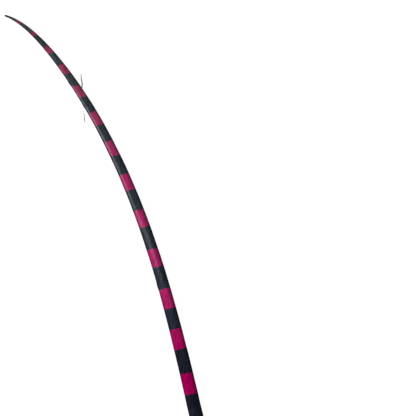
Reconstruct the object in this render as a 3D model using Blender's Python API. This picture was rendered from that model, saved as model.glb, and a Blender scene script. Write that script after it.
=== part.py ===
"""Stripped ostrich quill, lying on its flank.

The quill is one grown piece: the bare shaft of an ostrich plume whose barbs have been stripped off. It has a
fine tip that curls over, a long rachis that thickens and straightens towards the butt, and the round
calamus that once sat in the skin. A groove runs along the inner, concave side of the rachis. It starts in a
small pit, the superior umbilicus, where the calamus ends. A second pit, the inferior umbilicus, is in the butt.

The bend lies in the XY plane, with the tip towards -X +Y and the butt towards +X -Y. The quill rests on one
flank at z = 0, and its box is centred over the origin. Lengths are in metres.
"""
import math

import bpy
import numpy as np

MM = 0.001

# Length along the quill, from the tip to the butt, and how much of it carried barbs
QUILL_LENGTH = 380 * MM
RACHIS_LENGTH = 327 * MM
CALAMUS_LENGTH = QUILL_LENGTH - RACHIS_LENGTH

# The bend: the straight butt points this far from -Y, the shaft adds a bend that fades out along its
# length, and the tip adds a short curl
BUTT_HEADING = math.radians(12.8)
BEND_ANGLE = math.radians(34.1)
BEND_LENGTH = 322 * MM
CURL_ANGLE = math.radians(26.9)
CURL_LENGTH = 13.8 * MM

# Depth of the shaft, from its grooved side to its back: a fine tip, a quick gain, then a slow swell
TIP_DEPTH = 1.15 * MM
DEPTH_GAIN = 5.9 * MM
GAIN_LENGTH = 54 * MM
ROOT_SWELL = 2.9 * MM
CALAMUS_TAPER = 0.42

# Thickness of the shaft across its flanks, as a share of its depth
RACHIS_THICKNESS = 0.72
CALAMUS_THICKNESS = 0.84

# The section: how square it is (2 is an ellipse), nearly a box along the rachis and round on the calamus. The
# back is less square by this much in the middle of the shaft, where the ridge below is
RACHIS_SQUARENESS = 2.7
CALAMUS_SQUARENESS = 2.1
BACK_ROUNDING = 0.6
BACK_REACH = 45 * MM

# The underside is flat below this share of the half thickness
RACHIS_FLAT = 0.93
CALAMUS_FLAT = 0.985

# The upper flank slopes down towards the groove: the share by which it is thicker at the back and thinner at
# the groove. In the middle of the shaft a low ridge along it takes the slope's place: how steep the ridge's
# face towards the groove is, its top's place and rounding as shares of the half depth, and where it is
FLANK_SLOPE = 0.17
RIDGE_SLOPE = 0.70
RIDGE_OFFSET = 0.15
RIDGE_ROUNDING = 0.25
RIDGE_PLACE = 206 * MM
RIDGE_REACH = 34 * MM

# Where the section turns from the rachis's form to the calamus's
CHANGE_START = 250 * MM
CHANGE_END = 346 * MM

# The groove, as shares of the half depth and of the half thickness, how much its lips stand out for its
# depth, and the pit that it starts in
GROOVE_DEPTH = 0.30
GROOVE_WIDTH = 0.36
GROOVE_LIPS = 0.4
GROOVE_FADE = 30 * MM
GROOVE_END_FADE = 2.2 * MM
UPPER_PIT_EXTRA = 0.20
UPPER_PIT_LENGTH = 3.2 * MM

# The butt: a rounded rim round a pit, whose wall leans in a little between these two shares of its depth
RIM_RADIUS = 1.1 * MM
LOWER_PIT_DEPTH = 3.0 * MM
LOWER_PIT_RADIUS = 1.3 * MM
LOWER_PIT_WALL = np.array([0.12, 0.75])
LOWER_PIT_NARROWING = np.array([1.0, 0.8])

# The tip lies a little clear of the surface, because the thin end doesn't sag to it
TIP_LIFT = 2.0 * MM
LIFT_LENGTH = 110 * MM

# How finely the surface is faceted. The rachis's stations lie closer together towards the tip, by this power
POINTS_ROUND = 32
RACHIS_STATIONS = 52
RACHIS_CROWDING = 1.3
UMBILICUS_STATIONS = 9
CALAMUS_STATIONS = 12
ROUNDING_STATIONS = 3
PATH_STEP = 0.25 * MM
HEIGHT_STEPS = 400
SHARP_EDGE = math.radians(50)

# Dyed keratin, as a linear colour
DYE_COLOUR = (0.323, 0.007, 0.084, 1.0)
DYE_ROUGHNESS = 0.42


def smooth_step(start, end, position):
    """0 before start and 1 after end, with a smooth S between them."""
    share = np.clip((position - start) / (end - start), 0.0, 1.0)
    return share * share * (3.0 - 2.0 * share)


def blend(rachis_value, calamus_value, position):
    """The rachis's value, turning smoothly into the calamus's where the one becomes the other."""
    return rachis_value + (calamus_value - rachis_value) * smooth_step(CHANGE_START, CHANGE_END, position)


def heading(position):
    """Angle from -Y towards +X at a distance from the tip.

    It is the butt's heading, plus a bend that falls to nothing as the square of the distance still to go,
    because the shaft stiffens as it thickens, plus a curl that dies away exponentially from the tip.
    """
    bend = BEND_ANGLE * np.clip(1.0 - position / BEND_LENGTH, 0.0, 1.0) ** 2
    curl = CURL_ANGLE * np.exp(-position / CURL_LENGTH)
    return BUTT_HEADING + bend + curl


def centreline(position):
    """The shaft's centreline in plan: the heading summed up in small steps, starting from the tip."""
    steps = np.arange(0.0, QUILL_LENGTH + PATH_STEP, PATH_STEP)
    middle = heading(steps[:-1] + PATH_STEP / 2)
    along_x = np.concatenate([[0.0], np.cumsum(np.sin(middle) * PATH_STEP)])
    along_y = np.concatenate([[0.0], np.cumsum(-np.cos(middle) * PATH_STEP)])
    return np.interp(position, steps, along_x), np.interp(position, steps, along_y)


def depth(position):
    """Depth of the shaft: the rachis's tip, gain and swell, then the calamus's taper to the butt."""
    on_rachis = np.minimum(position, RACHIS_LENGTH)
    gain = DEPTH_GAIN * (1.0 - np.exp(-on_rachis / GAIN_LENGTH))
    swell = ROOT_SWELL * (on_rachis / RACHIS_LENGTH) ** 2
    along_calamus = np.clip((position - RACHIS_LENGTH) / CALAMUS_LENGTH, 0.0, 1.0)
    return (TIP_DEPTH + gain + swell) * (1.0 - CALAMUS_TAPER * along_calamus ** 2.5)


def thickness(position):
    """Thickness across the flanks, a share of the depth."""
    return depth(position) * blend(RACHIS_THICKNESS, CALAMUS_THICKNESS, position)


def groove(position):
    """Depth of the groove as a share of the half depth: nothing at the tip or on the calamus."""
    fades_in = 1.0 - np.exp(-position / GROOVE_FADE)
    fades_out = 1.0 - smooth_step(RACHIS_LENGTH - GROOVE_END_FADE, RACHIS_LENGTH + GROOVE_END_FADE, position)
    pit_centre = RACHIS_LENGTH - UPPER_PIT_LENGTH
    pit = UPPER_PIT_EXTRA * np.exp(-((position - pit_centre) / UPPER_PIT_LENGTH) ** 2)
    return (GROOVE_DEPTH * fades_in + pit) * fades_out


def resting_height(position):
    """Height of the centreline: half the thickness, so that the flank lies flat, plus the lift at the tip.

    Past its thickest place the calamus tapers about a level centreline, clear of the surface.
    """
    stations = np.linspace(0.0, QUILL_LENGTH, HEIGHT_STEPS)
    thickest_so_far = np.maximum.accumulate(thickness(stations))
    lift = TIP_LIFT * np.clip(1.0 - position / LIFT_LENGTH, 0.0, 1.0) ** 2
    return np.interp(position, stations, thickest_so_far) / 2 + lift


def stations():
    """Distances from the tip at which the shaft has a section, and the share of its full size at each."""
    quarter = np.linspace(0.0, math.pi / 2, ROUNDING_STATIONS + 1)[1:]
    tip_radius = TIP_DEPTH / 2
    tip = tip_radius * (1.0 - np.cos(quarter))
    tip_share = np.sin(quarter)

    umbilicus_start = RACHIS_LENGTH - 3 * UPPER_PIT_LENGTH
    umbilicus_end = RACHIS_LENGTH + 2 * GROOVE_END_FADE
    spread = np.linspace(0.0, 1.0, RACHIS_STATIONS + 1)[1:] ** RACHIS_CROWDING
    rachis = tip_radius + (umbilicus_start - tip_radius) * spread
    umbilicus = np.linspace(umbilicus_start, umbilicus_end, UMBILICUS_STATIONS + 1)[1:]
    calamus = np.linspace(umbilicus_end, QUILL_LENGTH - RIM_RADIUS, CALAMUS_STATIONS + 1)[1:]

    butt_radius = depth(QUILL_LENGTH) / 2
    rim = QUILL_LENGTH - RIM_RADIUS * (1.0 - np.sin(quarter))
    rim_share = 1.0 - RIM_RADIUS * (1.0 - np.cos(quarter)) / butt_radius
    pit = QUILL_LENGTH - LOWER_PIT_DEPTH * LOWER_PIT_WALL
    pit_share = LOWER_PIT_RADIUS / butt_radius * LOWER_PIT_NARROWING

    full = np.ones(len(rachis) + len(umbilicus) + len(calamus))
    distances = np.concatenate([tip, rachis, umbilicus, calamus, rim, pit])
    shares = np.concatenate([tip_share, full, rim_share, pit_share])
    return distances, shares


def upper_slope(out, position):
    """Share added to the upper flank's height at a place out from the centreline, and none on the calamus.

    It is an even slope, which gives way along the shaft, as a bell curve, to a ridge: a straight fall on the
    groove's side and nearly level on the back's, joined by a hyperbola.
    """
    ridge = np.exp(-((position - RIDGE_PLACE) / RIDGE_REACH) ** 2)
    even = FLANK_SLOPE * out
    across = out - RIDGE_OFFSET
    fall = RIDGE_SLOPE * (across - np.sqrt(across ** 2 + RIDGE_ROUNDING ** 2) + RIDGE_ROUNDING) / 2
    return blend(1.0, 0.0, position) * (even + (fall - even) * ridge)


def section(angle, position):
    """The section's outline, with each half axis as 1: out from the back (+) to the groove (-), and up (+).

    It is a superellipse, which may be squarer on the grooved side than on the back. Its upper half has the
    upper flank's slope, and its underside is cut flat. The grooved side has a notch whose depth falls off as
    a bell curve from the middle, and stands out a little more the deeper the notch is, so that the notch's
    two lips reach the full depth.
    """
    rounding = BACK_ROUNDING * np.exp(-((position - RIDGE_PLACE) / BACK_REACH) ** 2)
    squareness = blend(RACHIS_SQUARENESS, CALAMUS_SQUARENESS, position)
    power = 2.0 / np.where(np.cos(angle) > 0.0, squareness - rounding, squareness)
    out = np.sign(np.cos(angle)) * np.abs(np.cos(angle)) ** power
    up = np.sign(np.sin(angle)) * np.abs(np.sin(angle)) ** power
    notch = groove(position) * np.exp(-(up / GROOVE_WIDTH) ** 2)
    grooved_side = out * (1.0 + GROOVE_LIPS * groove(position)) + notch
    upper_flank = up * (1.0 + upper_slope(out, position))
    underside = np.maximum(up / blend(RACHIS_FLAT, CALAMUS_FLAT, position), -1.0)
    return np.where(out < 0.0, grooved_side, out), np.where(up > 0.0, upper_flank, underside)


def quill_points():
    """All the surface's points: a ring for each station, then the tip's point and the pit's bottom."""
    distance, share = stations()
    angle = np.linspace(0.0, 2.0 * math.pi, POINTS_ROUND, endpoint=False)[None, :]
    position = distance[:, None]
    out, up = section(angle, position)
    out = out * share[:, None] * depth(position) / 2
    up = up * share[:, None] * thickness(position) / 2

    x, y = centreline(position)
    direction = heading(position)
    rings = np.stack([
        x + out * np.cos(direction),
        y + out * np.sin(direction),
        resting_height(position) + up,
    ], axis=-1)

    ends = np.array([0.0, QUILL_LENGTH - LOWER_PIT_DEPTH])
    end_x, end_y = centreline(ends)
    poles = np.stack([end_x, end_y, resting_height(ends)], axis=-1)
    points = np.concatenate([rings.reshape(-1, 3), poles])

    low, high = points.min(axis=0), points.max(axis=0)
    points[:, :2] -= (low[:2] + high[:2]) / 2
    points[:, 2] -= low[2]
    return points, len(distance)


def quill_faces(ring_count):
    """Four-sided faces between neighbouring rings, and a fan of triangles at each end."""
    around = np.arange(POINTS_ROUND)
    after = (around + 1) % POINTS_ROUND
    first = np.arange(ring_count - 1)[:, None] * POINTS_ROUND
    second = first + POINTS_ROUND
    sides = np.stack([first + around, first + after, second + after, second + around], axis=-1).reshape(-1, 4)

    tip_pole = ring_count * POINTS_ROUND
    pit_pole = tip_pole + 1
    last = (ring_count - 1) * POINTS_ROUND
    tip_fan = np.stack([np.full(POINTS_ROUND, tip_pole), after, around], axis=-1)
    pit_fan = np.stack([np.full(POINTS_ROUND, pit_pole), last + around, last + after], axis=-1)
    return sides.tolist() + tip_fan.tolist() + pit_fan.tolist()


def dyed_keratin():
    """Dyed keratin, the horn-like stuff of the shaft, with a soft sheen."""
    material = bpy.data.materials.new("dyed_keratin")
    material.use_nodes = True
    shader = material.node_tree.nodes["Principled BSDF"]
    shader.inputs["Base Color"].default_value = DYE_COLOUR
    shader.inputs["Roughness"].default_value = DYE_ROUGHNESS
    shader.inputs["Metallic"].default_value = 0.0
    return material


def make_quill(collection):
    """The shaft, tip to butt, as one closed solid."""
    points, ring_count = quill_points()
    mesh = bpy.data.meshes.new("quill")
    mesh.from_pydata(points.tolist(), [], quill_faces(ring_count))
    mesh.materials.append(dyed_keratin())
    mesh.shade_smooth()
    mesh.set_sharp_from_angle(angle=SHARP_EDGE)
    quill = bpy.data.objects.new("quill", mesh)
    collection.objects.link(quill)
    return quill


for existing in list(bpy.data.objects):
    bpy.data.objects.remove(existing, do_unlink=True)

ostrich_quill = bpy.data.collections.new("ostrich_quill")
bpy.context.scene.collection.children.link(ostrich_quill)
make_quill(ostrich_quill)
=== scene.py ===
# %% [markdown]
# A stripped ostrich quill, dyed and striped
#
# An ostrich plume whose barbs have been stripped off leaves its bare shaft: a long, bent quill with a fine
# tip. This one was dyed magenta and then painted with black rings, and two stray barbs are left on it.
# The lesson builds its surface, its finish and its light, around a solid of the right size that is loaded
# first. Everything is in metres, and the quill lies on its flank, with its tip towards -X +Y.

# %% Load the solid that the looks are built around
import math

import bpy
import numpy as np
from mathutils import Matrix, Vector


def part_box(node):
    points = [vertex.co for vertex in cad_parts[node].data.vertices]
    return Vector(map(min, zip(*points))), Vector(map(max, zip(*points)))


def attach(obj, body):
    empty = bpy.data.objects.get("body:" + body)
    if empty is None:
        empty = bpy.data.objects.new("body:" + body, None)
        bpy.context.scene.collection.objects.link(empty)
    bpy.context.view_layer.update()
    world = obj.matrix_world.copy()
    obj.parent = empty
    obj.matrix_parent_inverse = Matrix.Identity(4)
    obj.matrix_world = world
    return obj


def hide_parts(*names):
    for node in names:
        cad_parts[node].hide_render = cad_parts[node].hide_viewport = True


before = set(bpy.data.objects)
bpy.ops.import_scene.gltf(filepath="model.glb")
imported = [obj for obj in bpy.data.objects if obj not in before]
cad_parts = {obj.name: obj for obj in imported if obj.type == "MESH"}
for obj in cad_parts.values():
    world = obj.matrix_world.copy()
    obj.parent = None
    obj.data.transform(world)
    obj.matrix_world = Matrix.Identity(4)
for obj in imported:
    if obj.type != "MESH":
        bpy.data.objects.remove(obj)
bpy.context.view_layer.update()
quill_low, quill_high = (np.array(corner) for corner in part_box("quill"))
print("quill box, mm:", np.round((quill_high - quill_low) * 1000, 1))

# %% [markdown]
# Small helpers
#
# A share that turns smoothly from 0 to 1, and a bell curve, are all the shaping that a grown thing needs:
# nothing on it starts or stops with a corner.

# %% Smooth steps and bells
MM = 0.001
TAU = 2.0 * math.pi


def smooth_step(start, end, position):
    """0 before start and 1 after end: three times the square of the share, less twice its cube."""
    share = np.clip((position - start) / (end - start), 0.0, 1.0)
    return share * share * (3.0 - 2.0 * share)


def bell(position, middle, reach):
    """1 at the middle, falling off as e to the minus square of the distance over the reach."""
    return np.exp(-((position - middle) / reach) ** 2)


print("smooth step at each quarter:", np.round(smooth_step(0.0, 1.0, np.array([0.25, 0.5, 0.75])), 2))

# %% [markdown]
# The bend
#
# A plume bends like a tapering beam: hardly at all near its stiff root, and more and more towards the tip,
# which adds a short curl of its own. A curve drawn through points would do, but then each point is a guess.
# Giving the heading along the shaft as a formula and summing it up keeps the bend smooth everywhere.

# %% The heading and the centreline
QUILL_LENGTH = 380 * MM
RACHIS_LENGTH = 327 * MM
CALAMUS_LENGTH = QUILL_LENGTH - RACHIS_LENGTH
BUTT_HEADING = math.radians(12.8)
BEND_ANGLE = math.radians(34.1)
BEND_LENGTH = 322 * MM
CURL_ANGLE = math.radians(26.9)
CURL_LENGTH = 13.8 * MM
PATH_STEP = 0.25 * MM


def heading(position):
    """Angle from -Y towards +X: the butt's, a bend that falls as a square, and a curl that dies away."""
    bend = BEND_ANGLE * np.clip(1.0 - position / BEND_LENGTH, 0.0, 1.0) ** 2
    curl = CURL_ANGLE * np.exp(-position / CURL_LENGTH)
    return BUTT_HEADING + bend + curl


def centreline(position):
    """Plan of the centreline from the tip: the running sum of each small step's sine and minus cosine."""
    steps = np.arange(0.0, QUILL_LENGTH + PATH_STEP, PATH_STEP)
    middle = heading(steps[:-1] + PATH_STEP / 2)
    along_x = np.concatenate([[0.0], np.cumsum(np.sin(middle) * PATH_STEP)])
    along_y = np.concatenate([[0.0], np.cumsum(-np.cos(middle) * PATH_STEP)])
    return np.interp(position, steps, along_x), np.interp(position, steps, along_y)


print("heading at tip and butt, degrees:", np.round(np.degrees(heading(np.array([0.0, QUILL_LENGTH]))), 1))

# %% [markdown]
# The section
#
# Cut across, the rachis, which carried the barbs, is nearly a box, and the calamus, the root, is round. In
# the middle of the rachis the back is rounder and a low ridge runs along the upper flank. The inner, concave
# side has a groove between two lips. It starts in a small pit, the superior umbilicus, where the calamus
# ends. The shaft lies on one flank, which is flat. Lofting a few hand-made outlines would make those changes,
# but one formula in the angle round the shaft and the distance along it does it with no steps.

# %% Depth, thickness and groove along the shaft
TIP_DEPTH = 1.15 * MM
DEPTH_GAIN = 5.9 * MM
GAIN_LENGTH = 54 * MM
ROOT_SWELL = 2.9 * MM
CALAMUS_TAPER, TAPER_POWER = 0.42, 2.5
RACHIS_THICKNESS, CALAMUS_THICKNESS = 0.72, 0.84
RACHIS_SQUARENESS, CALAMUS_SQUARENESS = 2.7, 2.1
BACK_ROUNDING, BACK_REACH = 0.6, 45 * MM
RACHIS_FLAT, CALAMUS_FLAT = 0.93, 0.985
CHANGE_START, CHANGE_END = 250 * MM, 346 * MM
FLANK_SLOPE = 0.17
RIDGE_SLOPE, RIDGE_OFFSET, RIDGE_ROUNDING = 0.70, 0.15, 0.25
RIDGE_PLACE, RIDGE_REACH = 206 * MM, 34 * MM
GROOVE_DEPTH, GROOVE_WIDTH, GROOVE_LIPS = 0.30, 0.36, 0.4
GROOVE_FADE, GROOVE_END_FADE = 30 * MM, 2.2 * MM
UPPER_PIT_EXTRA, UPPER_PIT_LENGTH = 0.20, 3.2 * MM
TIP_LIFT, LIFT_LENGTH = 2.0 * MM, 110 * MM
HEIGHT_STEPS = 400


def blend(rachis_value, calamus_value, position):
    """The rachis's value, turning smoothly into the calamus's where the one becomes the other."""
    return rachis_value + (calamus_value - rachis_value) * smooth_step(CHANGE_START, CHANGE_END, position)


def depth(position):
    """Tip, a gain that levels off and a swell as the square of the place, times the calamus's taper."""
    on_rachis = np.minimum(position, RACHIS_LENGTH)
    gain = DEPTH_GAIN * (1.0 - np.exp(-on_rachis / GAIN_LENGTH))
    swell = ROOT_SWELL * (on_rachis / RACHIS_LENGTH) ** 2
    along_calamus = np.clip((position - RACHIS_LENGTH) / CALAMUS_LENGTH, 0.0, 1.0)
    return (TIP_DEPTH + gain + swell) * (1.0 - CALAMUS_TAPER * along_calamus ** TAPER_POWER)


def thickness(position):
    """A share of the depth, larger on the rounder calamus."""
    return depth(position) * blend(RACHIS_THICKNESS, CALAMUS_THICKNESS, position)


def groove(position):
    """Share of the half depth: it grows from nothing at the tip, deepens at the pit, and stops there."""
    fades_in = 1.0 - np.exp(-position / GROOVE_FADE)
    fades_out = 1.0 - smooth_step(RACHIS_LENGTH - GROOVE_END_FADE, RACHIS_LENGTH + GROOVE_END_FADE, position)
    pit = UPPER_PIT_EXTRA * bell(position, RACHIS_LENGTH - UPPER_PIT_LENGTH, UPPER_PIT_LENGTH)
    return (GROOVE_DEPTH * fades_in + pit) * fades_out


def upper_slope(out, position):
    """Share added to the upper flank's height: an even slope, which a ridge replaces in the middle as a bell.

    The ridge is a straight fall on the groove's side, level on the back's, joined by a hyperbola.
    """
    ridge = bell(position, RIDGE_PLACE, RIDGE_REACH)
    even = FLANK_SLOPE * out
    across = out - RIDGE_OFFSET
    fall = RIDGE_SLOPE * (across - np.sqrt(across ** 2 + RIDGE_ROUNDING ** 2) + RIDGE_ROUNDING) / 2
    return blend(1.0, 0.0, position) * (even + (fall - even) * ridge)


def resting_height(position):
    """Height of the centreline: half of the greatest thickness so far, plus a lift that fades as a square."""
    places = np.linspace(0.0, QUILL_LENGTH, HEIGHT_STEPS)
    thickest_so_far = np.maximum.accumulate(thickness(places))
    lift = TIP_LIFT * np.clip(1.0 - position / LIFT_LENGTH, 0.0, 1.0) ** 2
    return np.interp(position, places, thickest_so_far) / 2 + lift


for sample_mm in (50, 200, 300):
    print(sample_mm, "mm from the tip:", np.round(depth(sample_mm * MM) * 1000, 2), "mm deep,",
          np.round(thickness(sample_mm * MM) * 1000, 2), "mm thick")

# %% One section as a function of the angle round it
def section(angle, position):
    """Outline with half axes of 1: a superellipse, its upper half sloping, its underside cut flat.

    The grooved side is pushed in by the groove's share times a bell across it, and pushed out a little all
    over, so that the groove's two lips reach the full depth.
    """
    squareness = blend(RACHIS_SQUARENESS, CALAMUS_SQUARENESS, position)
    rounder_back = squareness - BACK_ROUNDING * bell(position, RIDGE_PLACE, BACK_REACH)
    power = 2.0 / np.where(np.cos(angle) > 0.0, rounder_back, squareness)
    out = np.sign(np.cos(angle)) * np.abs(np.cos(angle)) ** power
    up = np.sign(np.sin(angle)) * np.abs(np.sin(angle)) ** power
    lips = out * (1.0 + GROOVE_LIPS * groove(position))
    grooved_side = lips + groove(position) * bell(up, 0.0, GROOVE_WIDTH)
    upper_flank = up * (1.0 + upper_slope(out, position))
    underside = np.maximum(up / blend(RACHIS_FLAT, CALAMUS_FLAT, position), -1.0)
    return np.where(out < 0.0, grooved_side, out), np.where(up > 0.0, upper_flank, underside)


sides = ("back", "upper flank", "groove", "underside")
side_angles = np.linspace(0.0, TAU, len(sides), endpoint=False)
for side_name, side_out, side_up in zip(sides, *section(side_angles, RIDGE_PLACE)):
    print(side_name, "at the ridge's middle:", round(side_out, 2), "out,", round(side_up, 2), "up")

# %% [markdown]
# Where the surface's points go
#
# The rings are 0.3 mm apart, which is a quarter of the 1.2 mm between two barbs, so that a row of barb scars
# shows as separate bumps. Round the shaft the points crowd together at the two scar rows and at the groove.
# A mesh that fine everywhere would be too heavy, so the calamus, which is smooth, has wider rings.

# %% The grid's angles and stations
POINTS_ROUND, DENSITY_STEPS = 72, 4000
RING_STEP = 0.3 * MM
CALAMUS_RING_STEP = 0.8 * MM
BARB_PITCH = 1.2 * MM
SCAR_ANGLE = math.radians(40)
SCAR_REACH = math.radians(7)
GROOVE_REACH = math.radians(35)
SCAR_PACKING, GROOVE_PACKING = 3.0, 1.2
RIM_RADIUS = 1.1 * MM
LOWER_PIT_DEPTH = 3.0 * MM
LOWER_PIT_RADIUS = 1.3 * MM
WALL_TOP, WALL_FOOT, WALL_RINGS = 0.1, 0.7, 4
WALL_LEAN, PIT_FLOOR_SHARE = 0.15, 0.9
QUARTER_RINGS = 6


def angles_round():
    """Angles where the running sum of a density passes equal shares: 1, plus bells at scars and groove."""
    fine = np.linspace(0.0, TAU, DENSITY_STEPS + 1)
    scars = bell(fine, SCAR_ANGLE, SCAR_REACH) + bell(fine, TAU - SCAR_ANGLE, SCAR_REACH)
    density = 1.0 + SCAR_PACKING * scars + GROOVE_PACKING * bell(fine, math.pi, GROOVE_REACH)
    total = np.concatenate([[0.0], np.cumsum((density[1:] + density[:-1]) / 2)])
    return np.interp(np.linspace(0.0, total[-1], POINTS_ROUND, endpoint=False), total, fine)


def stations():
    """Distances from the tip and the share of full size there: a round tip, the shaft, a round rim, a pit."""
    quarter = np.linspace(0.0, math.pi / 2, QUARTER_RINGS + 1)[1:]
    tip_radius = TIP_DEPTH / 2
    smooth_from = RACHIS_LENGTH + 2 * GROOVE_END_FADE
    butt_radius = depth(QUILL_LENGTH) / 2
    rachis = np.arange(tip_radius + RING_STEP, smooth_from, RING_STEP)
    calamus = np.arange(smooth_from, QUILL_LENGTH - RIM_RADIUS, CALAMUS_RING_STEP)
    rim_share = 1.0 - RIM_RADIUS * (1.0 - np.cos(quarter)) / butt_radius
    pit_share = LOWER_PIT_RADIUS / butt_radius
    wall = np.linspace(WALL_TOP, WALL_FOOT, WALL_RINGS)
    distances = np.concatenate([
        tip_radius * (1.0 - np.cos(quarter)),
        rachis,
        calamus,
        QUILL_LENGTH - RIM_RADIUS * (1.0 - np.sin(quarter)),
        QUILL_LENGTH - LOWER_PIT_DEPTH * wall,
        QUILL_LENGTH - LOWER_PIT_DEPTH * (WALL_FOOT + (1.0 - WALL_FOOT) * np.sin(quarter[:-1])),
    ])
    shares = np.concatenate([
        np.sin(quarter),
        np.ones(len(rachis) + len(calamus)),
        rim_share,
        pit_share * (1.0 - WALL_LEAN * wall),
        pit_share * PIT_FLOOR_SHARE * np.cos(quarter[:-1]),
    ])
    return distances, shares


ring_angle = angles_round()[None, :]
ring_place, ring_share = (values[:, None] for values in stations())
print("grid:", ring_place.size, "rings of", ring_angle.size, "points,",
      2 * ring_place.size * ring_angle.size, "triangles")

# %% [markdown]
# Grown and stripped
#
# A shaft isn't drawn with a ruler. Its sides waver by a few hundredths of a millimetre as it grows, fine ribs
# run along it, and along each side of its back is the row of scars where the barbs were torn off: a shallow
# furrow with a bump for each barb. In three places the lip of the groove was torn up too. All this is height
# added to the surface, so that it is there in the mesh from any side, and only what is finer than the mesh
# is left to the material.

# %% Relief added to the surface
WAVER_HEIGHT = 0.035 * MM
WAVER_LENGTHS = np.array([61.0, 37.0, 23.0, 14.0]) * MM
RIB_COUNT = 13
RIB_HEIGHT = 0.012 * MM
RIB_DRIFT, RIB_DRIFT_LENGTH = 1.5, 90 * MM
FURROW_DEPTH = 0.09 * MM
SCAR_HEIGHT = 0.13 * MM
SCAR_LENGTH = 0.32 * MM
SCARS_START, SCARS_END = (8 * MM, 40 * MM), (300 * MM, 322 * MM)
NICK_PLACES = np.array([66.0, 85.0, 219.0]) * MM
NICK_HEIGHT = 0.32 * MM
NICK_LENGTH = 1.9 * MM
NICK_ANGLE, NICK_REACH = math.radians(145), math.radians(22)
SMOOTH_TIP = 60 * MM

random = np.random.default_rng(20)
waver_phase = random.uniform(0.0, TAU, (len(WAVER_LENGTHS), 2))
rib_phase = random.uniform(0.0, TAU, 2)


def waver(angle, position):
    """Sum of slow sine waves along the shaft, each turned by its own amount round it."""
    wave = np.zeros(np.broadcast(angle, position).shape)
    for length, (start, turn) in zip(WAVER_LENGTHS, waver_phase):
        wave = wave + np.sin(TAU * position / length + start) * np.cos(angle + turn)
    return WAVER_HEIGHT * wave / 2


def ribs(angle, position):
    """A cosine with RIB_COUNT crests round the shaft, which drift slowly sideways along it."""
    drift = RIB_DRIFT * np.sin(TAU * position / RIB_DRIFT_LENGTH + rib_phase[0]) + rib_phase[1]
    return RIB_HEIGHT * np.cos(RIB_COUNT * angle + drift)


def scars(angle, position):
    """Along each scar row, a furrow less a bump at every barb: a bell across times a bell along."""
    across = bell(angle, SCAR_ANGLE, SCAR_REACH) + bell(angle, TAU - SCAR_ANGLE, SCAR_REACH)
    from_barb = (position + BARB_PITCH / 2) % BARB_PITCH - BARB_PITCH / 2
    bumps = SCAR_HEIGHT * bell(from_barb, 0.0, SCAR_LENGTH)
    between_ends = smooth_step(*SCARS_START, position) * (1.0 - smooth_step(*SCARS_END, position))
    return across * (bumps - FURROW_DEPTH) * between_ends


def nicks(angle, position):
    """Torn keratin on the groove's upper lip: a bell across times, at each place, a bell along."""
    across = bell(angle, NICK_ANGLE, NICK_REACH)
    along = sum(bell(position, place, NICK_LENGTH) for place in NICK_PLACES)
    return NICK_HEIGHT * across * along


relief = waver(ring_angle, ring_place) + ribs(ring_angle, ring_place)
relief = relief + scars(ring_angle, ring_place) + nicks(ring_angle, ring_place)
relief = relief * smooth_step(0.0, SMOOTH_TIP, ring_place) * np.clip(ring_share, 0.0, 1.0)
print("relief, mm:", round(relief.min() * 1000, 3), "to", round(relief.max() * 1000, 3))

# %% [markdown]
# From the formula to the mesh
#
# The section gives two numbers, out and up, for every ring and angle at once. Laid along the centreline they
# are the surface. The same two numbers with the distance along the shaft are kept at each point as the
# straight position: where the point would be if the shaft were straight. Grain and paint follow that, so
# they run along the bend and have no seam.

# %% The points of the surface
out_share, up_share = section(ring_angle, ring_place)
out = out_share * ring_share * depth(ring_place) / 2 + relief * np.cos(ring_angle)
up = up_share * ring_share * thickness(ring_place) / 2 + relief * np.sin(ring_angle)
line_x, line_y = centreline(ring_place)
underside = resting_height(ring_place) - thickness(ring_place) / 2
quill_points = np.stack([
    line_x + out * np.cos(heading(ring_place)),
    line_y + out * np.sin(heading(ring_place)),
    np.maximum(resting_height(ring_place) + up, underside),
], axis=-1)
straight = np.stack([out, up, np.broadcast_to(ring_place, out.shape)], axis=-1)

end_places = np.array([0.0, QUILL_LENGTH - LOWER_PIT_DEPTH])
end_points = np.stack([*centreline(end_places), resting_height(end_places)], axis=-1)
end_straight = np.stack([np.zeros(2), np.zeros(2), end_places], axis=-1)

# The plan of the formula starts at the tip, so it is moved to where the loaded solid lies
made_low = quill_points.min(axis=(0, 1))
made_high = quill_points.max(axis=(0, 1))
shift = (quill_low + quill_high) / 2 - (made_low + made_high) / 2
shift[2] = 0.0
quill_points = quill_points + shift
end_points = end_points + shift
print("moved by, mm:", np.round(shift * 1000, 2))

# %% Turning a grid into a closed mesh
def tube_mesh(name, rings, ends):
    """A tube round a grid of rings, closed at each end by a fan to one point."""
    ring_count, round_count = rings.shape[:2]
    around = np.arange(round_count)
    after = (around + 1) % round_count
    first = np.arange(ring_count - 1)[:, None] * round_count
    second = first + round_count
    sides = np.stack([first + around, first + after, second + after, second + around], axis=-1)
    start_point = np.full(round_count, ring_count * round_count)
    last = (ring_count - 1) * round_count
    start_fan = np.stack([start_point, after, around], axis=-1)
    end_fan = np.stack([start_point + 1, last + around, last + after], axis=-1)
    mesh = bpy.data.meshes.new(name)
    points = np.concatenate([rings.reshape(-1, 3), ends])
    faces = sides.reshape(-1, 4).tolist() + start_fan.tolist() + end_fan.tolist()
    mesh.from_pydata(points.tolist(), [], faces)
    mesh.shade_smooth()
    return mesh


def store(mesh, name, values):
    """Keeps one number, or one vector, at each vertex, where a material can read it by name."""
    kind, key = ("FLOAT", "value") if values.ndim == 1 else ("FLOAT_VECTOR", "vector")
    attribute = mesh.attributes.new(name, kind, "POINT")
    attribute.data.foreach_set(key, values.astype(np.float32).ravel())


def show(name, mesh):
    """An object at the origin, in the scene, that moves with the quill's one body."""
    piece = bpy.data.objects.new(name, mesh)
    bpy.context.scene.collection.objects.link(piece)
    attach(piece, "root")
    return piece


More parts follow.
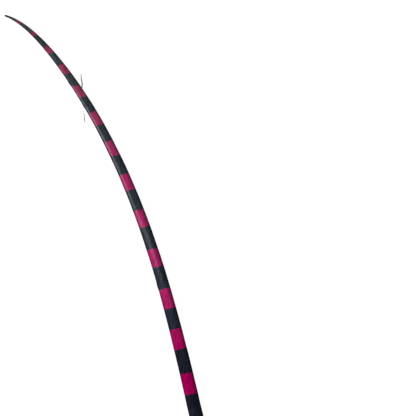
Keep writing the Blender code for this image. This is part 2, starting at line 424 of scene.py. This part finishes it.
quill_mesh = tube_mesh("quill_shaft", quill_points, end_points)
quill_shaft = show("quill_shaft", quill_mesh)
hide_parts("quill")
straight_all = np.concatenate([straight.reshape(-1, 3), end_straight]) / MM
store(quill_mesh, "straight_mm", straight_all)
print("shaft:", len(quill_mesh.vertices), "points")

# %% [markdown]
# The painted rings
#
# The rings are brushed on by hand, so they get longer and further apart as the shaft thickens, and each edge
# leans its own way. A ring drawn by the mesh's faces would have a stepped edge. Instead each point keeps how
# far inside a magenta ring it lies, in millimetres, and the material turns that distance into an edge as
# sharp and as ragged as it likes.

# %% How far a point lies inside a magenta ring
# Start and end of each magenta ring, along the shaft from its tip
MAGENTA_RINGS_MM = np.array([
    (9.0, 12.3), (21.9, 25.3), (36.1, 41.7), (52.0, 59.4), (69.8, 78.8), (91.0, 101.1), (113.7, 124.6),
    (138.8, 150.4), (165.2, 177.4), (193.4, 206.3), (221.9, 235.8), (250.3, 264.5), (281.6, 296.1),
    (313.5, 328.5), (346.0, 361.5),
])
# How far each edge moves towards the root from the groove to the back, at a ring's start and its end
RING_LEANS_MM = np.array([
    (1.2, 0.6), (-1.2, 1.5), (0.2, 2.5), (1.6, 1.7), (1.7, 1.7), (0.6, 1.4), (0.7, 2.4),
    (0.5, 0.8), (0.7, 0.2), (0.5, 0.4), (0.4, 0.1), (0.0, -0.4), (0.2, 0.0),
    (0.3, 0.0), (0.0, 0.3),
])


def ring_depth(position_mm, out_share):
    """Distance inside a magenta ring, less than 0 in the black: the smaller of the distances to its edges.

    Each edge is first moved by half its lean times the share of the half depth out from the centreline.
    """
    starts, ends = (MAGENTA_RINGS_MM + RING_LEANS_MM * out_share[:, None, None] / 2).transpose(2, 0, 1)
    inside = np.minimum(position_mm[:, None] - starts, ends - position_mm[:, None])
    return inside.max(axis=1)


print("rings:", len(MAGENTA_RINGS_MM), "magenta, the longest",
      np.round(np.diff(MAGENTA_RINGS_MM).max(), 1), "mm")

# %% [markdown]
# Darker groove, painted shade on the back's edges, and gloss on the rest
#
# The surface is painted darker towards and in the groove, and painted shade darkens the back's two edges
# along the scar rows. The wax of the living feather still shines where nothing rubbed it off. Both follow the
# form of the shaft, not a pattern laid over it, so each is a number worked out from the angle round the
# shaft, counted from its back, and the distance along it.

# %% Where the surface is painted darker
# The groove is darker, more so near the tip and over one stretch of its lip
GROOVE_DARK, GROOVE_DARK_FROM, GROOVE_DARK_FULL = 0.85, math.radians(114), math.radians(144)
TIP_DARK_SPREAD, TIP_SPREAD_ENDS_MM = math.radians(32), (20.0, 60.0)
LIP_DARK_SPREAD, LIP_DARK_PLACE_MM, LIP_DARK_REACH_MM = math.radians(13), 108.0, 18.0
# Painted shade on the back's two edges, along the scar rows
SCAR_ROW_SHADE, SCAR_ROW_SHADE_ANGLE, SCAR_ROW_SHADE_REACH = 0.42, math.radians(28), math.radians(32)
SCAR_ROW_SHADE_GROWS_MM, SCAR_ROW_SHADE_FALLS_MM, SCAR_ROW_SHADE_LOSS = (50.0, 130.0), (200.0, 240.0), 0.75
UNDARKENED_ROOT_MM = (326.0, 334.0)


def groove_dark_and_edge_shade(from_back, position_mm):
    """Share of darkening: it rises towards the groove, and as painted shade it is a bell on each scar row.

    Near the tip the darkening spreads further over the flank, and in one place on the shaft it spreads over
    the lip.
    """
    spread = TIP_DARK_SPREAD * (1.0 - smooth_step(*TIP_SPREAD_ENDS_MM, position_mm))
    spread = spread + LIP_DARK_SPREAD * bell(position_mm, LIP_DARK_PLACE_MM, LIP_DARK_REACH_MM)
    in_groove = GROOVE_DARK * smooth_step(GROOVE_DARK_FROM, GROOVE_DARK_FULL, from_back + spread)
    grows = smooth_step(*SCAR_ROW_SHADE_GROWS_MM, position_mm)
    falls = 1.0 - SCAR_ROW_SHADE_LOSS * smooth_step(*SCAR_ROW_SHADE_FALLS_MM, position_mm)
    painted_scar_row_shade = SCAR_ROW_SHADE * grows * falls * bell(from_back, SCAR_ROW_SHADE_ANGLE, SCAR_ROW_SHADE_REACH)
    undarkened_root = 1.0 - smooth_step(*UNDARKENED_ROOT_MM, position_mm)
    return (1.0 - (1.0 - in_groove) * (1.0 - painted_scar_row_shade)) * undarkened_root


# The printed share is of the groove's full darkening
print("caught in the groove, share of full ink:", np.round(groove_dark_and_edge_shade(math.pi, np.array([50.0, 300.0])), 2))

# %% Where the surface is still glossy
TIP_SHEEN, SHEEN_GROWS_MM = 0.15, (45.0, 100.0)
SHEEN_LOSS, SHEEN_FALLS_MM, SHEEN_ENDS_MM = 0.65, (100.0, 200.0), (195.0, 228.0)
LIP_STARTS, LIP_DULL_FROM, LIP_WEAR_MM = GROOVE_DARK_FROM, math.radians(140), (120.0, 160.0)


def sheen(from_back, position_mm):
    """Share of the wax's gloss: it grows from the tip to the middle and is worn off towards the root.

    From the middle on it is worn off the groove's lips too.
    """
    grows = TIP_SHEEN + (1.0 - TIP_SHEEN) * smooth_step(*SHEEN_GROWS_MM, position_mm)
    falls = 1.0 - SHEEN_LOSS * smooth_step(*SHEEN_FALLS_MM, position_mm)
    ends = 1.0 - smooth_step(*SHEEN_ENDS_MM, position_mm)
    on_lips = smooth_step(LIP_STARTS, LIP_DULL_FROM, from_back)
    return grows * falls * ends * (1.0 - on_lips * smooth_step(*LIP_WEAR_MM, position_mm))


print("sheen at 50, 100 and 200 mm:", np.round(sheen(math.pi / 2, np.array([50.0, 100.0, 200.0])), 2))

# %% The three numbers kept at each point
place_mm = straight_all[:, 2]
all_angles = np.concatenate([np.broadcast_to(ring_angle, out.shape).ravel(), [0.0, 0.0]])
angle_from_back = math.pi - np.abs(all_angles - math.pi)
inside_ring = ring_depth(place_mm, straight_all[:, 0] / (depth(place_mm * MM) / 2 / MM))
store(quill_mesh, "ring_mm", inside_ring)
store(quill_mesh, "groove_dark_and_edge_shade", groove_dark_and_edge_shade(angle_from_back, place_mm))
store(quill_mesh, "sheen", sheen(angle_from_back, place_mm))
print("magenta covers", round(100 * float(np.mean(inside_ring > 0))), "% of the points")

# %% [markdown]
# Colour and nodes
#
# Colours are written as a painter's program shows them, in sRGB hex, and turned to the linear values that a
# shader adds up. One small function adds a node, sets its sockets and makes its links, so that a material
# reads as a list of what it does.

# %% Helpers for materials
def linear(hex_colour):
    """sRGB to linear: a straight line near black, and the 2.4 power above it."""
    srgb = np.array([int(hex_colour[i:i + 2], 16) for i in (1, 3, 5)]) / 255.0
    value = np.where(srgb <= 0.04045, srgb / 12.92, ((srgb + 0.055) / 1.055) ** 2.4)
    return (*value.tolist(), 1.0)


def new_material(name):
    """A material with no nodes yet, and the node tree to put them in."""
    material = bpy.data.materials.new(name)
    material.use_nodes = True
    material.node_tree.nodes.clear()
    return material.node_tree, material


def add(tree, kind, settings=None, **inputs):
    """Adds a node, sets it and links it.

    An input is a number, a colour or another node's output. It goes by its name, with _ for a space, or by _
    and its place in the node's list, where several inputs share a name.
    """
    node = tree.nodes.new(kind)
    for name, value in (settings or {}).items():
        setattr(node, name, value)
    for name, value in inputs.items():
        socket = node.inputs[int(name[1:])] if name[1:].isdigit() else node.inputs[name.replace("_", " ")]
        if isinstance(value, bpy.types.NodeSocket):
            tree.links.new(value, socket)
        else:
            socket.default_value = value
    return node


print("sRGB mid grey, linear:", np.round(linear("#808080")[:3], 3))

# %% [markdown]
# The finish of the shaft
#
# Keratin is what horn and nails are made of: a dull, faintly waxy solid with a grain along it. This shaft sat
# in a magenta dye bath and was then ringed with a brush of black ink. Both took unevenly, in streaks that
# slant across the shaft, and the ink crept along the grain, so each ring has a ragged edge. The magenta is
# greyer and the ink lighter near the tip, a painted haze of reflection, and both are darker towards the root,
# painted shade. What is left of the wax gives a narrow gloss, strongest 100 mm from the tip and gone by
# 228 mm. A picture wrapped round the shaft would have a seam. Noise at the straight position has none, and
# with the numbers kept at each point it gives all of this.

# %% Grain, streaks and the ragged edge of a ring
GRAIN_WIDTH_MM = 0.45      # real grain is a hundredth of this, too fine to show
GRAIN_SHORTENING = 0.04    # along the shaft, so that a grain is 25 times as long as it is wide
STREAK_WIDTH_MM, STREAK_LENGTHENING = 1.1, 7.0      # a brush hair leaves 0.1 mm, too fine to show
STREAK_SLANT = math.radians(-20)
WANDER_WIDTH_MM, WANDER_MM = 2.2, 0.5
CREEP_MM = 0.55
EDGE_SOFTNESS_MM = 0.14
SMOOTHLY = {"interpolation_type": "SMOOTHSTEP"}

keratin, dyed_keratin = new_material("magenta_dyed_keratin_brushed_with_black_ink")
place = add(keratin, "ShaderNodeAttribute", {"attribute_name": "straight_mm"})
ring = add(keratin, "ShaderNodeAttribute", {"attribute_name": "ring_mm"})
# The share of darkening: the groove's, and the painted shade on the back's edges
darkening = add(keratin, "ShaderNodeAttribute", {"attribute_name": "groove_dark_and_edge_shade"})
wax = add(keratin, "ShaderNodeAttribute", {"attribute_name": "sheen"})

grain_place = add(keratin, "ShaderNodeMapping", Vector=place.outputs["Vector"],
                  Scale=(1, 1, GRAIN_SHORTENING))
grain = add(keratin, "ShaderNodeTexNoise", Vector=grain_place.outputs["Vector"],
            Scale=1 / GRAIN_WIDTH_MM, Detail=3.0, Roughness=0.55)
wander = add(keratin, "ShaderNodeTexNoise", Vector=place.outputs["Vector"],
             Scale=1 / WANDER_WIDTH_MM, Detail=2.0)
streak_place = add(keratin, "ShaderNodeMapping", {"vector_type": "TEXTURE"}, Vector=place.outputs["Vector"],
                   Rotation=(0, STREAK_SLANT, 0), Scale=(1, 1, STREAK_LENGTHENING))
streak = add(keratin, "ShaderNodeTexNoise", Vector=streak_place.outputs["Vector"],
             Scale=1 / STREAK_WIDTH_MM, Detail=4.0, Roughness=0.6)

crept = add(keratin, "ShaderNodeMath", {"operation": "MULTIPLY_ADD"},
            _0=grain.outputs["Fac"], _1=2 * CREEP_MM, _2=-CREEP_MM)
wandered = add(keratin, "ShaderNodeMath", {"operation": "MULTIPLY_ADD"},
               _0=wander.outputs["Fac"], _1=2 * WANDER_MM, _2=-WANDER_MM)
ragged = add(keratin, "ShaderNodeMath", {"operation": "ADD"}, _0=ring.outputs["Fac"], _1=crept.outputs[0])
edge = add(keratin, "ShaderNodeMath", {"operation": "ADD"}, _0=ragged.outputs[0], _1=wandered.outputs[0])
bare = add(keratin, "ShaderNodeMapRange", SMOOTHLY, Value=edge.outputs[0],
           From_Min=-EDGE_SOFTNESS_MM, From_Max=EDGE_SOFTNESS_MM)
print("streaks, mm:", STREAK_WIDTH_MM, "wide and", round(STREAK_WIDTH_MM * STREAK_LENGTHENING, 1), "long")

# %% Colours of the dye and the ink from tip to root, with painted haze and painted shade
# The tip's colours hold a painted haze of reflection, and the root's hold painted shade
TIP_DYE, MIDDLE_DYE, ROOT_DYE = linear("#94375b"), linear("#ac2664"), linear("#a60155")
TIP_INK, MIDDLE_INK, ROOT_INK = linear("#32393c"), linear("#272e36"), linear("#181a24")
# Colour of the groove's darkening and of the painted shade
DARK_AND_SHADE_COLOUR = linear("#241420")
DYE_DRIFT_MM, INK_DRIFT_MM, ROOT_DRIFT_MM = (60.0, 170.0), (40.0, 100.0), (205.0, 285.0)
# A colour mix takes its share at 0 and its two colours at 6 and 7, and gives the mixed colour at 2
COLOURS = {"data_type": "RGBA"}

along = add(keratin, "ShaderNodeSeparateXYZ", Vector=place.outputs["Vector"])
# Painted haze fades out past the tip, and painted shade deepens towards the root
dye_past_tip_haze, ink_past_tip_haze, toward_root_shade = (
    add(keratin, "ShaderNodeMapRange", SMOOTHLY, Value=along.outputs["Z"], From_Min=start, From_Max=end)
    for start, end in (DYE_DRIFT_MM, INK_DRIFT_MM, ROOT_DRIFT_MM)
)
upper_dye = add(keratin, "ShaderNodeMix", COLOURS, _0=dye_past_tip_haze.outputs[0], _6=TIP_DYE, _7=MIDDLE_DYE)
dye = add(keratin, "ShaderNodeMix", COLOURS, _0=toward_root_shade.outputs[0], _6=upper_dye.outputs[2], _7=ROOT_DYE)
upper_ink = add(keratin, "ShaderNodeMix", COLOURS, _0=ink_past_tip_haze.outputs[0], _6=TIP_INK, _7=MIDDLE_INK)
ink = add(keratin, "ShaderNodeMix", COLOURS, _0=toward_root_shade.outputs[0], _6=upper_ink.outputs[2], _7=ROOT_INK)
print("colour:", len(keratin.nodes), "nodes so far")

# %% Streaks in the dye and the ink, and the darkening and painted shade over both
NOISE_LOW, NOISE_HIGH = 0.35, 0.65      # most of a noise's values lie between these two
DEEPEST_DYE, THINNEST_INK, LEAST_DARKENED = 0.58, 1.6, 0.45
MULTIPLIED = {"data_type": "RGBA", "blend_type": "MULTIPLY"}

uneven = add(keratin, "ShaderNodeMapRange", Value=streak.outputs["Fac"], From_Min=NOISE_LOW,
             From_Max=NOISE_HIGH, To_Min=DEEPEST_DYE)
brushed = add(keratin, "ShaderNodeMapRange", Value=streak.outputs["Fac"], From_Min=NOISE_LOW,
              From_Max=NOISE_HIGH, To_Min=DEEPEST_DYE, To_Max=THINNEST_INK)
thinned = add(keratin, "ShaderNodeMix", MULTIPLIED, _0=1.0, _6=ink.outputs[2], _7=brushed.outputs[0])
taken = add(keratin, "ShaderNodeMix", MULTIPLIED, _0=1.0, _6=dye.outputs[2], _7=uneven.outputs[0])
ringed = add(keratin, "ShaderNodeMix", COLOURS, _0=bare.outputs[0], _6=thinned.outputs[2],
             _7=taken.outputs[2])
# The groove's darkening and the painted shade, broken up by the grain
patchy = add(keratin, "ShaderNodeMapRange", Value=grain.outputs["Fac"], From_Min=NOISE_LOW,
             From_Max=NOISE_HIGH, To_Min=LEAST_DARKENED)
darkened = add(keratin, "ShaderNodeMath", {"operation": "MULTIPLY"}, _0=darkening.outputs["Fac"],
             _1=patchy.outputs[0])
colour = add(keratin, "ShaderNodeMix", COLOURS, _0=darkened.outputs[0], _6=ringed.outputs[2], _7=DARK_AND_SHADE_COLOUR)
print("colour:", len(keratin.nodes), "nodes")

# %% Gloss and the feel of the grain
KERATIN_IOR = 1.54        # typical of horn
SPECULAR_LEVEL = 0.0      # the gloss is all in the coat, where the wax is
COAT_MOST, COAT_ROUGHNESS = 0.14, 0.17
GRAIN_HEIGHT = 0.022 * MM
SMOOTHEST, ROUGHEST = 0.38, 0.52
GRAIN_LOW, GRAIN_HIGH = 0.3, 0.7

roughness = add(keratin, "ShaderNodeMapRange", Value=grain.outputs["Fac"], From_Min=GRAIN_LOW,
                From_Max=GRAIN_HIGH, To_Min=SMOOTHEST, To_Max=ROUGHEST)
bump = add(keratin, "ShaderNodeBump", Height=grain.outputs["Fac"], Strength=1.0, Distance=GRAIN_HEIGHT)
coat = add(keratin, "ShaderNodeMath", {"operation": "MULTIPLY"}, _0=wax.outputs["Fac"], _1=COAT_MOST)
shader = add(keratin, "ShaderNodeBsdfPrincipled", Base_Color=colour.outputs[2],
             Roughness=roughness.outputs[0], IOR=KERATIN_IOR, Specular_IOR_Level=SPECULAR_LEVEL,
             Coat_Weight=coat.outputs[0], Coat_Roughness=COAT_ROUGHNESS, Normal=bump.outputs["Normal"])
add(keratin, "ShaderNodeOutputMaterial", Surface=shader.outputs["BSDF"])
quill_mesh.materials.append(dyed_keratin)
print("keratin:", len(keratin.nodes), "nodes")

# %% [markdown]
# Two stray barbs
#
# Stripping pulls the barbs off in handfuls, and two stayed behind. A barb is a fine thread, stoutest part of
# the way along, so each is a tube of six-sided rings along a curve that is a cubic in one parameter. Hair
# particles would look the same, but they are not a mesh that anyone else can use. A real barb is about
# 0.3 mm thick, which would be too fine to show, so these are drawn up to 0.8 and 0.5 mm thick.

# %% Barbs as tubes
BARB_RINGS, BARB_SIDES = 60, 6
THINNEST_SHARE = 0.2


def barb_mesh(name, knots_mm, radius_mm, thickest, reach):
    """A tube round a cubic Bezier curve. Its radius is a bell, added to a small share of the full radius.

    The curve's four knots are given along X and Y from the quill's tip, and up from the table.
    """
    share = np.linspace(0.0, 1.0, BARB_RINGS)[:, None]
    start, leave, arrive, end = np.array(knots_mm) * MM + end_points[0] * (1.0, 1.0, 0.0)
    path = (start * (1 - share) ** 3 + 3 * leave * share * (1 - share) ** 2
            + 3 * arrive * share ** 2 * (1 - share) + end * share ** 3)
    tangent = np.gradient(path, axis=0)
    side = np.cross([0.0, 0.0, 1.0], tangent)
    side = side / np.linalg.norm(side, axis=1, keepdims=True)
    above = np.cross(tangent, side)
    above = above / np.linalg.norm(above, axis=1, keepdims=True)
    angle = np.linspace(0.0, TAU, BARB_SIDES, endpoint=False)[None, :, None]
    swelling = THINNEST_SHARE + (1.0 - THINNEST_SHARE) * bell(share, thickest, reach)
    radius = (radius_mm * MM * swelling)[:, None]
    rings = path[:, None] + radius * (np.cos(angle) * above[:, None] + np.sin(angle) * side[:, None])
    return tube_mesh(name, rings, path[[0, -1]])


UPPER_KNOTS_MM = [(52.5, -50.4, 2.6), (54.3, -47.3, 4.6), (52.4, -44.5, 4.4), (52.4, -40.3, 2.4)]
LOWER_KNOTS_MM = [(54.6, -61.2, 2.4), (54.0, -65.0, 2.2), (54.4, -69.0, 1.0), (55.0, -73.1, 0.4)]
upper_barb = barb_mesh("stray_barb_upper", UPPER_KNOTS_MM, radius_mm=0.4, thickest=0.35, reach=0.75)
lower_barb = barb_mesh("stray_barb_lower", LOWER_KNOTS_MM, radius_mm=0.26, thickest=0.8, reach=0.36)

# Ink soaks into a barb, which leaves it nearly black and dull
BARB_INK, BARB_ROUGHNESS = linear("#2a2c31"), 0.6
barb_tree, inked_barb = new_material("feather_barb_soaked_with_ink")
barb_shader = add(barb_tree, "ShaderNodeBsdfPrincipled", Base_Color=BARB_INK, Roughness=BARB_ROUGHNESS,
                  IOR=KERATIN_IOR)
add(barb_tree, "ShaderNodeOutputMaterial", Surface=barb_shader.outputs["BSDF"])
for barb in (upper_barb, lower_barb):
    barb.materials.append(inked_barb)
    show(barb.name, barb)
    print(barb.name, len(barb.polygons), "faces")

# %% [markdown]
# Floor, light and camera
#
# The quill lies on a white light table, so that its outline is clear and its shadow faint. One large soft
# light comes from the inner side of the bend and picks out the shoulder beside the groove. The sky over it is
# dim, because a bright one would lay a grey film over the upper flank. The camera looks straight down.

# %% The light table
FLOOR_SIZE = 12.0
FLOOR_GAP = 0.05 * MM
WHITE = (1.0, 1.0, 1.0, 1.0)
# Most of its white is its glow, so that a shadow on it is faint
FLOOR_GREY, FLOOR_GLOW = (0.1, 0.1, 0.1, 1.0), 0.97

corners = np.array([(-1, -1), (1, -1), (1, 1), (-1, 1)]) * FLOOR_SIZE / 2
floor_mesh = bpy.data.meshes.new("light_table")
floor_mesh.from_pydata([(x, y, -FLOOR_GAP) for x, y in corners.tolist()], [], [(0, 1, 2, 3)])
floor_tree, floor_white = new_material("white_acrylic_lit_from_below")
floor_shader = add(floor_tree, "ShaderNodeBsdfPrincipled", Base_Color=FLOOR_GREY, Roughness=0.9,
                   Specular_IOR_Level=0.0, Emission_Color=WHITE, Emission_Strength=FLOOR_GLOW)
add(floor_tree, "ShaderNodeOutputMaterial", Surface=floor_shader.outputs["BSDF"])
floor_mesh.materials.append(floor_white)
floor = bpy.data.objects.new("light_table", floor_mesh)
bpy.context.scene.collection.objects.link(floor)
print("light table:", FLOOR_SIZE, "m across")

# %% Soft light and a dim sky
TIP_TO_VIEW_CENTRE = np.array([139.4, -131.9, 0.0]) * MM
VIEW_CENTRE = end_points[0] + TIP_TO_VIEW_CENTRE
KEY_AZIMUTH, KEY_ELEVATION = math.radians(204), math.radians(50)
KEY_DISTANCE, KEY_SIZE, KEY_POWER = 2.0, 0.8, 42.0
SKY_STRENGTH = 0.18


def direction_to(azimuth, elevation):
    """Unit vector at an azimuth from +X and an elevation."""
    return np.array([math.cos(azimuth) * math.cos(elevation), math.sin(azimuth) * math.cos(elevation),
                     math.sin(elevation)])


key_light = bpy.data.lights.new("soft_key", "AREA")
key_light.size = KEY_SIZE
key_light.energy = KEY_POWER
key = bpy.data.objects.new("soft_key", key_light)
key.location = VIEW_CENTRE + KEY_DISTANCE * direction_to(KEY_AZIMUTH, KEY_ELEVATION)
key.rotation_euler = (0.0, math.pi / 2 - KEY_ELEVATION, KEY_AZIMUTH)
bpy.context.scene.collection.objects.link(key)

sky = bpy.data.worlds.new("dim_sky")
sky.use_nodes = True
sky.node_tree.nodes["Background"].inputs["Color"].default_value = WHITE
sky.node_tree.nodes["Background"].inputs["Strength"].default_value = SKY_STRENGTH
bpy.context.scene.world = sky
print("key light, m from the origin:", np.round(key.location, 2))

# %% Camera and the picture's tones
CAMERA_HEIGHT = 1.5
SENSOR_WIDTH_MM = 36.0
VIEW_WIDTH = 285 * MM

camera_data = bpy.data.cameras.new("camera")
camera_data.sensor_width = SENSOR_WIDTH_MM
camera_data.lens = SENSOR_WIDTH_MM * (CAMERA_HEIGHT - VIEW_CENTRE[2]) / VIEW_WIDTH
camera = bpy.data.objects.new("camera", camera_data)
camera.location = (VIEW_CENTRE[0], VIEW_CENTRE[1], CAMERA_HEIGHT)
bpy.context.scene.collection.objects.link(camera)
bpy.context.scene.camera = camera
bpy.context.scene.view_settings.view_transform = "Standard"
print("lens:", round(camera_data.lens, 1), "mm")
